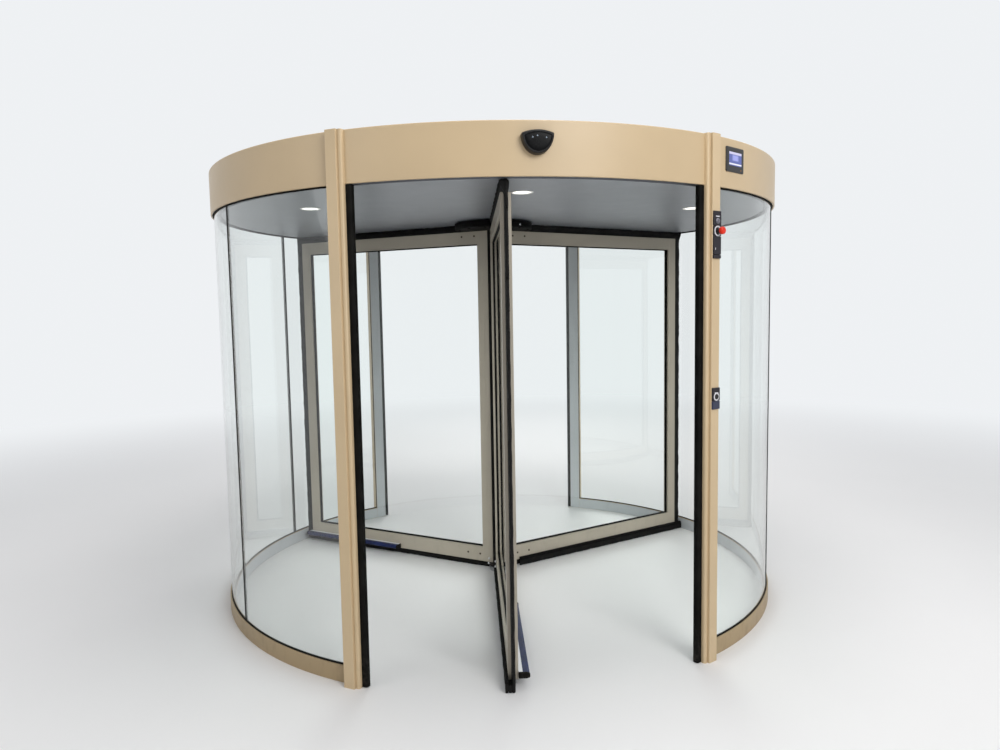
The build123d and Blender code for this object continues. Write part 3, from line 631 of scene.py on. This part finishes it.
def half_moon(inset):
    """The sensor's outline: a shallow crown above a half ellipse, with rounded corners between the two."""
    half = SENSOR_HALF - inset
    corner = SENSOR_CORNER * half / SENSOR_HALF
    shoulder = SENSOR_TOP - CROWN_RISE - inset
    belly = SENSOR_BELLY - 2 * inset
    crown = np.linspace(-0.8, 0.8, 9)
    turn = np.radians(np.linspace(-9, -171, 25))
    corners = [*zip(half * crown, shoulder + CROWN_RISE * (1 - crown**2)), (half, shoulder),
               *zip(half * np.cos(turn), shoulder + belly * np.sin(turn)), (-half, shoulder)]
    return rounded(corners, [0] * len(crown) + [corner] + [0] * len(turn) + [corner], 6)


black_plastic = plain("black_plastic", (20, 19, 19), 0.34, Specular_IOR_Level=0.3)
dark_window = plain("dark_window", (7, 7, 8), 0.28, grain=120, depth=0.00002, Specular_IOR_Level=0.08)
# Pale grey lenses on the dark window: real lenses, their lightness a painted glint.
lens_and_glint_grey = plain("lens_and_glint_grey", (120, 130, 140), 0.1, metallic=0.6)
lens = [(0, -0.002), (0.0035, -0.002), (0.0035, 0.0), (0.0033, 0.0012), (0.0024, 0.0020), (0.0011, 0.0024),
        (0, 0.0025)]
for place, angle in (("front", -90), ("rear", 90)):
    housing = lofted(angle, FASCIA, half_moon, [
        (0.0, -0.004), (0.0, 0.020), (0.0012, 0.0225), (0.0012, 0.0235), (0.0002, 0.0240), (0.0008, 0.0290),
        (0.0030, 0.0330), (0.0080, 0.0355), (0.0092, 0.0352), (0.0096, 0.0335), (0.0200, 0.0335),
    ])
    piece(f"sensor_{place}_housing", housing, black_plastic, "drum", "black_plastic", f"sensor_{place}",
          smooth=30)
    window = lofted(angle, FASCIA, half_moon, [
        (0.0100, 0.0332), (0.0100, 0.0346), (0.0108, 0.0354), (0.0150, 0.0362), (0.0220, 0.0369),
        (0.0290, 0.0372),
    ])
    piece(f"sensor_{place}_window", window, dark_window, "drum", "black_plastic", smooth=50)
    lenses = [
        turned(lens, placed(angle, FASCIA + 0.0358, across, SENSOR_TOP - drop), placed(angle, 1, 0, 0), 16)
        for across, drop in ((-0.022, 0.032), (-0.0035, 0.026), (0.031, 0.033))
    ]
    piece(f"sensor_{place}_lenses", joined(lenses), lens_and_glint_grey, "drum", "black_plastic")

# Control panel
# A framed display let into the right fascia: a black bezel with a chamfered rim round a lit
# screen, whose picture is only soft bands of blue, and a small lamp at the lower right.
PANEL_ANGLE, PANEL_MIDDLE = -53.4, 2.225


def rectangle(left, right, low, high, corner):
    """The outline of a rounded rectangle as a function of its inset."""

    def outline(inset):
        sides = [(left + inset, low + inset), (right - inset, low + inset),
                 (right - inset, high - inset), (left + inset, high - inset)]
        return rounded(sides, max(corner - inset, 0.0003), 5)

    return outline


black_gloss = plain("black_gloss", (20, 16, 14), 0.3, grain=200, depth=0.00002)
bezel_outline = rectangle(-0.0725, 0.0725, PANEL_MIDDLE - 0.0535, PANEL_MIDDLE + 0.0535, 0.006)
bezel = lofted(PANEL_ANGLE, FASCIA, bezel_outline, [
    (0.0, -0.005), (0.0, 0.0028), (0.0006, 0.0036), (0.0016, 0.0043), (0.0026, 0.0045), (0.0120, 0.0045),
])
screen_low, screen_high = PANEL_MIDDLE - 0.026, PANEL_MIDDLE + 0.0325
frame_outline = rectangle(-0.0545, 0.0545, screen_low - 0.0025, screen_high + 0.0025, 0.003)
screen_frame = lofted(PANEL_ANGLE, FASCIA, frame_outline, [
    (0.0, 0.003), (0.0, 0.0047), (0.0003, 0.005), (0.0016, 0.005), (0.0022, 0.0046), (0.006, 0.0046),
])
piece("control_panel_bezel", joined([bezel, screen_frame]), black_gloss, "drum", "black_gloss",
      "control_panel", smooth=30)


def screen_picture(at, height):
    """Soft bands: a pale strip at the top, a blue field with a lighter patch, a white line near the bottom."""
    side = placed(PANEL_ANGLE, 0, 1, 0)
    across = at.node("VectorMath", {"operation": "DOT_PRODUCT"}, {0: at, 1: side}, "Value")
    low, high = screen_low, screen_high
    patch = across.rise(-0.034, -0.014) * across.rise(0.034, 0.014)
    patch = patch * height.rise(low + 0.018, low + 0.026) * height.rise(high - 0.008, high - 0.018)
    field = patch.blend((0.085, 0.115, 0.38, 1), (0.33, 0.36, 0.80, 1))
    top = height.rise(high - 0.012, high - 0.008)
    field = top.blend(field, (0.62, 0.60, 0.82, 1))
    line = height.rise(low + 0.011, low + 0.009) * height.rise(low + 0.003, low + 0.005)
    dots = at.noise(2600, 1) * 0.14 + 0.93
    lit = line.blend(field, (0.86, 0.85, 0.92, 1))
    return {"Emission Color": lit.node("VectorMath", {"operation": "SCALE"}, {0: lit, "Scale": dots})}, None, 0


lit_screen = finish("lit_screen", screen_picture, Base_Color=(0.01, 0.01, 0.02, 1), Roughness=0.1,
                    Emission_Strength=1.0)
screen = lofted(PANEL_ANGLE, FASCIA, rectangle(-0.052, 0.052, screen_low, screen_high, 0.0012),
                [(0.0, 0.0038), (0.0, 0.0047), (0.0002, 0.0049), (0.004, 0.0049)])
piece("control_panel_screen", screen, lit_screen, "drum", "black_gloss")
amber = plain("amber_lamp", (176, 126, 70), 0.25)
lamp_dome = turned(
    [(0, -0.001), (0.0030, -0.001), (0.0030, 0.0004), (0.0022, 0.0012), (0.0011, 0.0016), (0, 0.0017)],
    placed(PANEL_ANGLE, FASCIA + 0.0045, 0.047, PANEL_MIDDLE - 0.0415), placed(PANEL_ANGLE, 1, 0, 0), 16,
)
piece("control_panel_lamp", lamp_dome, amber, "drum", "black_gloss")

# Switches
# Two plates of dark moulded modules on the right front post. Above: key switch with its label
# strip, emergency button, blank module with a marker. Below: push button and a blue cover.
SWITCH_ANGLE, FACE, PLATE_OUT = -POST_ANGLE, POST_OUT, 0.008
SWITCH_OUT = placed(SWITCH_ANGLE, 1, 0, 0)
KEY_LEVEL, STOP_LEVEL, PUSH_LEVEL = 1.948, 1.9055, 1.196


def module(low, high):
    """A moulded cover from low to high with a rounded rim, a shallow step and a flat middle."""
    return lofted(SWITCH_ANGLE, FACE, rectangle(-0.024, 0.024, low, high, 0.003), [
        (0.0, -0.001), (0.0, PLATE_OUT - 0.0022), (0.0006, PLATE_OUT - 0.0008), (0.0018, PLATE_OUT),
        (0.0034, PLATE_OUT), (0.0040, PLATE_OUT - 0.0006), (0.0060, PLATE_OUT - 0.0006),
    ])


def on_plate(profile, level, steps=32, base=PLATE_OUT, closed=False):
    """A turned button on the plates' face, its profile of radius and distance out from the base."""
    return turned(profile, placed(SWITCH_ANGLE, FACE + base, 0, level), SWITCH_OUT, steps, closed)


dark_plate = plain("dark_plate", (27, 22, 30), 0.36, Specular_IOR_Level=0.3)
pale_print = plain("pale_print", (214, 212, 216), 0.5)
key_grey = plain("key_grey", (112, 110, 118), 0.3, metallic=0.4)
blue_cover = plain("blue_cover", (34, 40, 66), 0.34)
red_plastic = plain("red_plastic", (214, 42, 14), 0.36, Specular_IOR_Level=0.35)

upper = [module(1.790, 1.8055), module(1.8065, 1.8835), module(1.8845, 1.9265), module(1.9275, 1.990)]
piece("switch_upper_modules", joined(upper), dark_plate, "drum", "dark_plate", "switch_plate_upper", smooth=30)
label_strips = [
    lofted(SWITCH_ANGLE, FACE, rectangle(left, right, low, high, 0.0008), [
        (0.0, 0.006), (0.0, 0.0078), (0.0003, 0.0081), (0.0012, 0.0081)])
    for left, right, low, high in (
        (-0.013, 0.013, 1.965, 1.9695), (-0.0155, -0.0125, 1.826, 1.835), (-0.012, 0.012, 1.2105, 1.2145))
]
ring = np.array([(0.0160, -0.001), (0.0225, -0.001), (0.0225, 0.0004), (0.0220, 0.0008), (0.0165, 0.0008),
                 (0.0160, 0.0004)])
collar_ring = on_plate(ring, STOP_LEVEL, 40, 0.0076, closed=True)
button_ring = on_plate(ring - (0.0045, 0), PUSH_LEVEL, 40, 0.0076, closed=True)
piece("switch_labels", joined(label_strips + [collar_ring, button_ring]), pale_print, "drum", "dark_plate")
key = [(0, -0.003), (0.0125, -0.003), (0.0125, 0.0004), (0.0118, 0.0012), (0.0108, 0.0014), (0.0100, 0.0036),
       (0.0088, 0.0046), (0.0034, 0.0050), (0.0030, 0.0042), (0, 0.0042)]
piece("key_switch", on_plate(key, KEY_LEVEL), key_grey, "drum", "dark_plate")
slot_cover = lofted(SWITCH_ANGLE, FACE, rectangle(-0.0007, 0.0007, 1.9452, 1.9508, 0.0003),
                    [(0.0, 0.010), (0.0, 0.0128), (0.0002, 0.0129)])
stop_collar = on_plate([(0, -0.004), (0.0140, -0.004), (0.0140, 0.0015), (0.0128, 0.0025), (0.0120, 0.0050),
                        (0.0120, 0.0150), (0.0128, 0.0160), (0.0128, 0.0178), (0, 0.0178)], STOP_LEVEL)
lower_body = on_plate([(0, -0.003), (0.0112, -0.003), (0.0112, 0.0024), (0.0104, 0.0034), (0.0080, 0.0036),
                       (0.0040, 0.0032), (0, 0.0031)], PUSH_LEVEL)
piece("switch_dark_parts", joined([slot_cover, stop_collar, lower_body]), black_plastic, "drum", "dark_plate")
head = [(0, 0.0170), (0.0148, 0.0170), (0.0158, 0.0178), (0.0162, 0.0192), (0.0162, 0.0245), (0.0157, 0.0282),
        (0.0142, 0.0308), (0.0120, 0.0322), (0.0098, 0.0326), (0.0092, 0.0320), (0.0058, 0.0323), (0, 0.0325)]
piece("emergency_button_head", on_plate(head, STOP_LEVEL, 48), red_plastic, "drum", "red_plastic",
      "emergency_button")
piece("switch_lower_modules", module(1.178, 1.235), dark_plate, "drum", "dark_plate", "switch_plate_lower",
      smooth=30)
piece("switch_lower_cover", module(1.141, 1.177), blue_cover, "drum", "dark_plate", smooth=30)

# Hub
# The dark disc under the ceiling that the three wings hang from, turned with a bevelled rim,
# with socket screws round its underside and a bright steel screw in the rim, set where a glint of light shows:
# a painted glint.
HUB, HUB_LOW, HUB_DEPTH = 0.228, 2.055, 0.037
REST_ANGLE, SCREW_CIRCLE, GLINT_ANGLE, GLINT_LEVEL = -94.4, 0.206, -55, 2.070
hub_profile = [
    (0, 0), (0.2205, 0), (0.2225, 0.0004), (0.2276, 0.0058), (HUB, 0.0070), (HUB, 0.0200), (0.2268, 0.0212),
    (0.2268, 0.0222), (HUB, 0.0234), (HUB, HUB_DEPTH - 0.001), (HUB - 0.001, HUB_DEPTH), (0, HUB_DEPTH),
]
hub = turned(hub_profile, (0, 0, HUB_LOW), UP, 120)
piece("hub_plate", hub, dark_enamel, "rotor", "dark_enamel", "hub_disc")


def screw(centre, axis, radius, rise):
    """A socket screw's head: a rounded rim round a round socket, its foot sunk in what it holds."""
    head = [(0, -1), (1, -1), (1, 0.55), (0.86, 1), (0.56, 1), (0.5, 0.8), (0.5, 0.15), (0, 0.1)]
    return turned(np.array(head) * (radius, rise), centre, axis, 24)


hub_screws = [
    screw(placed(REST_ANGLE + 15 + 30 * turn, SCREW_CIRCLE, 0, HUB_LOW), (0, 0, -1), 0.0065, 0.0035)
    for turn in range(12)
]
# The bright screw in the hub's rim stands for a glint of light there: a painted glint.
painted_glint_steel = plain("painted_glint_steel", (205, 205, 207), 0.26, metallic=1.0, grain=300)
glint_screw = turned([(0, -0.004), (0.0062, -0.004), (0.0062, 0.002), (0.0052, 0.0034), (0.003, 0.0042), (0, 0.0045)],
              placed(GLINT_ANGLE, HUB, 0, GLINT_LEVEL), placed(GLINT_ANGLE, 1, 0, 0), 24)
piece("hub_screws", joined(hub_screws), dark_enamel, "rotor", "dark_enamel")
piece("hub_glint_screw", glint_screw, painted_glint_steel, "rotor", "bearing_steel")

# Column seal
# A black rubber core with three fins down the rotor's axis, pressed between the round noses
# of the wings' inner stiles.
dress(black_rubber, "column_seal")

# Wings
# Three leaves of extruded aluminium stiles and rails, powder coated, joined at the corners with
# screwed butt joints. The inner stile ends in a round nose. Their warm light grey is the posts' beige taken
# part way to grey: partly painted light, for the cool daylight that falls on them from behind.
WINGS = (REST_ANGLE, REST_ANGLE + 120, REST_ANGLE + 240)
HALF, EASED, BEAD = 0.022, 0.0214, 0.0212
FRAME_LOW, FRAME_HIGH = 0.04, 2.055
STILE_LOW = 0.033
LIGHT_LOW, LIGHT_HIGH = 0.13, 1.979
STILE_IN, STILE_OUT, REACH = 0.102, 1.404, 1.470
BRUSH_HALF, BRUSH_DEPTH, SEAT_HALF, SEAT_DEPTH = 0.008, 0.010, 0.011, 0.014
BUTT = 0.0002

# The wing colour is partly painted light: the posts' beige greyed part way for the cool daylight from behind.
wing_enamel = powder_coat("wing_enamel", (181, 172, 156), 0.36, soiled=0.2)


def rail(angle, outline, start, end):
    """An outline of side and height carried along the wing from start to end."""
    return tube(np.stack([placed(angle, reach, *outline.T) for reach in (start, end)]))


nose_turn = np.radians(np.linspace(90, 270, 25))[:, None]
nose = np.hstack([0.04 + HALF * np.cos(nose_turn), HALF * np.sin(nose_turn)])
inner_side = np.array([
    (0.060, -HALF), (0.0605, -BEAD), (0.0615, -BEAD), (0.062, -HALF), (0.0898, -HALF), (0.0903, -BEAD),
    (0.0910, -BEAD), (0.0915, -HALF), (0.1014, -HALF), (STILE_IN, -EASED), (STILE_IN, -SEAT_HALF),
    (STILE_IN - SEAT_DEPTH, -SEAT_HALF),
])
inner_outline = np.vstack([nose, inner_side, (inner_side * (1, -1))[::-1]])
outer_side = np.array([
    (REACH, EASED), (REACH - 0.0006, HALF), (STILE_OUT + 0.0108, HALF), (STILE_OUT + 0.0103, BEAD),
    (STILE_OUT + 0.0096, BEAD), (STILE_OUT + 0.0091, HALF), (STILE_OUT + 0.0006, HALF), (STILE_OUT, EASED),
    (STILE_OUT, SEAT_HALF), (STILE_OUT + SEAT_DEPTH, SEAT_HALF),
])
brush_groove = [(REACH, -BRUSH_HALF), (REACH - BRUSH_DEPTH, -BRUSH_HALF), (REACH - BRUSH_DEPTH, BRUSH_HALF),
                (REACH, BRUSH_HALF)]
outer_outline = np.vstack([outer_side, (outer_side * (1, -1))[::-1], brush_groove])


def rail_outline(brush_edge, glass_edge):
    """A rail's section from its brush groove's edge to its glazing groove's, with a bead line by the glass."""
    inwards = 1 if glass_edge > brush_edge else -1
    half_side = np.array([
        (BRUSH_HALF, brush_edge), (EASED, brush_edge), (HALF, brush_edge + inwards * 0.0006),
        (HALF, glass_edge - inwards * 0.0115), (BEAD, glass_edge - inwards * 0.0110),
        (BEAD, glass_edge - inwards * 0.0103), (HALF, glass_edge - inwards * 0.0098),
        (HALF, glass_edge - inwards * 0.0006), (EASED, glass_edge), (SEAT_HALF, glass_edge),
        (SEAT_HALF, glass_edge - inwards * SEAT_DEPTH),
    ])
    depth = brush_edge + inwards * BRUSH_DEPTH
    groove = [(-BRUSH_HALF, brush_edge), (-BRUSH_HALF, depth), (BRUSH_HALF, depth)]
    return np.vstack([half_side, (half_side * (-1, 1))[::-1][:-1], groove])


for number, angle in enumerate(WINGS, start=1):
    parts = [
        upright(inner_outline, angle, FRAME_LOW, FRAME_HIGH),
        upright(outer_outline, angle, STILE_LOW, FRAME_HIGH),
        rail(angle, rail_outline(FRAME_LOW, LIGHT_LOW), STILE_IN + BUTT, STILE_OUT - BUTT),
        rail(angle, rail_outline(FRAME_HIGH, LIGHT_HIGH), STILE_IN + BUTT, STILE_OUT - BUTT),
    ]
    piece(f"wing_{number}_profiles", joined(parts), wing_enamel, "rotor", "wing_enamel",
          f"wing_{number}_frame")

# Rail screws
# Two dark socket screws on both faces of each rail's inner end, which clamp the rail's corner
# cleat, and near-white cap nuts at the inner stiles' feet and in the rim of the foot plate, set on the sides
# facing the front: their white is a painted highlight.
nut = [(0, -0.0015), (0.0068, -0.0015), (0.0068, 0.0046), (0.0052, 0.0076), (0.0024, 0.0089), (0, 0.0090)]
rail_screws, foot_highlights = [], []
for angle in WINGS:
    for reach in (0.121, 0.207):
        for level in (0.084, 2.027):
            for side in (-1, 1):
                centre = placed(angle, reach, side * HALF, level)
                rail_screws.append(screw(centre, placed(angle, 0, side, 0), 0.0062, 0.0016))
    for side in (-1, 1):
        on_stile = placed(angle, 0.056, side * HALF, 0.064), placed(angle, 0, side, 0)
        on_rim = placed(angle + side * 23, 0.062, 0, 0.034), placed(angle + side * 23, 1, 0, 0)
        foot_highlights += [turned(nut, centre, axis, 20) for centre, axis in (on_stile, on_rim)]
dark_screw = plain("dark_screw", (74, 66, 58), 0.35, metallic=0.7)
piece("rail_screws", joined(rail_screws), dark_screw, "rotor", "bearing_steel")
# Near-white nuts facing the front: painted highlights on the foot.
painted_highlight_nut = plain("painted_highlight_nut", (236, 236, 238), 0.24, metallic=0.35)
piece("foot_highlight_nuts", joined(foot_highlights), painted_highlight_nut, "rotor", "bearing_steel")

# Wing glass
# One clear toughened sheet a leaf, 10 mm thick with plain cut edges, which stands in the frame's
# grooves between rubber gaskets on both faces.
wing_glass = clear_glass("wing_glass")
for number in (1, 2, 3):
    dress(wing_glass, f"wing_{number}_glass")
dress(black_rubber, "wing_gaskets")

# Brushes
# Strips of black nylon bristles in the frames' outer, lower and upper edges, and on each leaf's
# trailing face a second floor brush in a black holder, with a tuft between the two at the end.
PITCH = 0.003


def bristles(start, end, root, tip, half_width, seed, spread=0.0, lean=0.0):
    """A brush strip as a grid of columns along it by points round its section, in along, side and reach.
    Random numbers give each column its tip length, and a slow wave, their smoothed run plus a sine, bends the
    tips sideways. The half width grows by spread times the part of the way to the tips, which lean back."""
    columns = int((end - start) / PITCH)
    chance = np.random.default_rng(seed)
    along = np.linspace(start, end, columns)
    tuft = chance.normal(0, 1, columns)
    slow = np.convolve(chance.normal(0, 1, columns), np.hanning(25) / np.hanning(25).sum(), "same")
    part = np.array([0, 0.35, 0.7, 0.92, 1, 1, 0.92, 0.7, 0.35, 0])
    girth = np.array([1, 1, 0.96, 0.82, 0.4, -0.4, -0.82, -0.96, -1, -1])
    swell = 1 + 0.07 * np.tile([1, -1], columns)[:columns, None] * (part > 0)
    bend = (slow[:, None] * 0.9 + 0.45 * np.sin(along / 0.021)[:, None]) * 0.0022 * part**2
    side = half_width * girth * swell * (1 + spread * part) + bend - lean * part
    length = (tip - root) * part * (1 - 0.035 * np.abs(tuft)[:, None].clip(0, 2) * (part > 0.8))
    return np.stack([np.broadcast_to(along[:, None], side.shape), side, root + length], 2)


def bristle_black(at, height):
    strands = at.noise(420, 3)
    streak = strands.rise(0.35, 0.7)
    colours = streak.blend((0.0025, 0.0025, 0.0025, 1), (0.012, 0.011, 0.010, 1))
    return {"Base Color": colours, "Roughness": streak * 0.2 + 0.5}, strands, 0.0008


black_brush = finish("black_brush", bristle_black, Specular_IOR_Level=0.15)
BRISTLE_HALF, SKIRT_START, SKIRT_END = 0.0079, 0.134, 1.524
skirt_section = rounded([(-0.0218, 0.036), (-0.0218, 0.054), (-0.0340, 0.054), (-0.0370, 0.050),
                         (-0.0370, 0.036)], (0.0002, 0.0008, 0.002, 0.002, 0.001))
for number, angle in enumerate(WINGS, start=1):
    outer = bristles(0.004, 2.099, 1.461, 1.5285, BRISTLE_HALF, number)[..., [2, 1, 0]]
    under = bristles(0.063, 1.4585, 0.049, 0.0015, BRISTLE_HALF, number + 10)
    upper = bristles(0.229, 1.522, 2.046, 2.0996, BRISTLE_HALF, number + 20, spread=2.0, lean=0.010)
    skirt = bristles(SKIRT_START, SKIRT_END, 0.040, 0.0012, 0.0066, number + 30) - (0, 0.0296, 0)
    heel = bristles(1.405, SKIRT_END, 0.0336, 0.0012, 0.0080, number + 40) - (0, 0.0155, 0)
    brushes = (outer, under, upper, skirt, heel)
    strips = joined([tube(placed(angle, *np.moveaxis(points, -1, 0))) for points in brushes])
    piece(f"wing_{number}_bristles", strips, black_brush, "rotor", "black_brush", f"wing_{number}_brushes",
          smooth=60)
    holder = rail(angle, skirt_section, SKIRT_START, 1.520)
    piece(f"wing_{number}_skirt_holder", holder, dark_enamel, "rotor", "black_brush")

# Bumpers
# On each leaf's leading face a bright aluminium rail holds a hollow nose of dark blue rubber
# with two raised lines, closed by a moulded cap at each end.
bright_rail = plain("bright_rail", (228, 229, 232), 0.3, metallic=0.3, grain=260)
bumper_rubber = rubber("bumper_rubber", (16, 29, 72), 0.12, 0.45, 0.22)
BUMPER_START, BUMPER_END = 0.72, 1.4792
RAIL_LOW, RAIL_HIGH = 0.044, 0.069
NOSE_RADIUS, NOSE_OUT, NOSE_LEVEL = 0.0123, 0.0572, 0.0565
rail_section = rounded(
    [(HALF, RAIL_LOW), (0.040, RAIL_LOW), (0.040, RAIL_LOW + 0.003), (0.036, RAIL_LOW + 0.004),
     (0.036, RAIL_HIGH - 0.004), (0.040, RAIL_HIGH - 0.003), (0.040, RAIL_HIGH), (HALF, RAIL_HIGH)],
    0.0006, 2,
)
nose_swing = np.radians(np.linspace(-90, 90, 31))
ridge = sum(
    rise * np.exp(-((nose_swing - swing) / 0.07) ** 2) for rise, swing in ((0.0010, 0.42), (0.0008, -0.5))
)
nose_section = np.vstack([
    [(0.0365, RAIL_LOW + 0.0042), (0.0405, RAIL_LOW + 0.0036), (0.0405, RAIL_LOW + 0.0006)],
    np.column_stack([NOSE_OUT + (NOSE_RADIUS + ridge) * np.cos(nose_swing),
                     NOSE_LEVEL + NOSE_RADIUS * np.sin(nose_swing)]),
    [(0.0405, RAIL_HIGH - 0.0006), (0.0405, RAIL_HIGH - 0.0036), (0.0365, RAIL_HIGH - 0.0042)],
])
cap_section = rounded([(0.0222, 0.0432), (0.056, 0.0430), (0.0712, 0.0470), (0.0712, 0.0660), (0.056, 0.0700),
                       (0.0222, 0.0698)], (0.001, 0.004, 0.007, 0.007, 0.004, 0.001), 6)
for number, angle in enumerate(WINGS, start=1):
    bumper_rail = rail(angle, rail_section, BUMPER_START, BUMPER_END)
    piece(f"wing_{number}_bumper_rail", bumper_rail, bright_rail, "rotor", "bearing_steel")
    nose_strip = rail(angle, nose_section, BUMPER_START, BUMPER_END)
    piece(f"wing_{number}_bumper_nose", nose_strip, bumper_rubber, "rotor", "bumper_rubber",
          f"wing_{number}_bumper")
    caps = [rail(angle, cap_section, BUMPER_END - 0.0002, BUMPER_END + 0.006),
            rail(angle, cap_section, BUMPER_START - 0.002, BUMPER_START + 0.0025)]
    piece(f"wing_{number}_bumper_caps", joined(caps), black_rubber, "rotor", "black_rubber")
